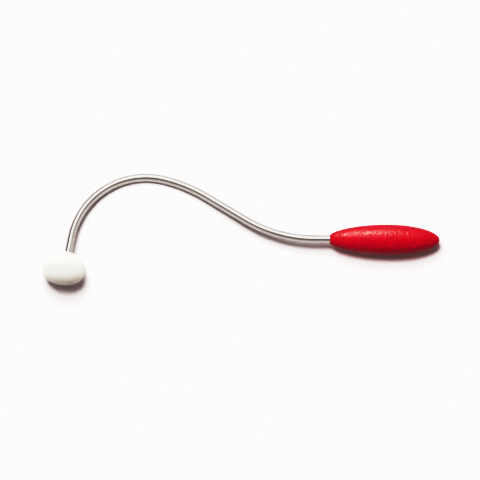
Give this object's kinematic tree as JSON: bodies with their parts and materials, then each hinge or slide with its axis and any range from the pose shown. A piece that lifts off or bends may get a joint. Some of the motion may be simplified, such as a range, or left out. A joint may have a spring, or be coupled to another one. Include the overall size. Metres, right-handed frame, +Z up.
{
  "type": "hooked hand massager",
  "caption": "Hooked hand massager: a slim steel bar bent in an S, with a red spindle grip at one end and a smooth white egg-shaped head at the other.",
  "frame": {"origin": "on the table under the middle of the tool's bounding box, with the tool lying at rest on its grip, its head and the crest of its bend", "axes": "+X along the grip towards its free end, +Y level, from the head's side towards the crest of the bend, +Z up from the table; the bend's own plane leans about 11 degrees from level, its crest lowest"},
  "size_m": [0.3966, 0.1124, 0.043],
  "materials": {
    "satin_steel": "satin",
    "red_cover": "satin",
    "grey_core": "matte",
    "spring_steel": "satin",
    "brass": "satin",
    "white_rubber": "satin"
  },
  "bodies": {
    "root": {"shaft": "satin_steel", "grip": "red_cover", "grip_core": "grey_core", "spring_pin": "spring_steel", "head_insert": "brass", "head": "white_rubber"}
  },
  "joints": []
}
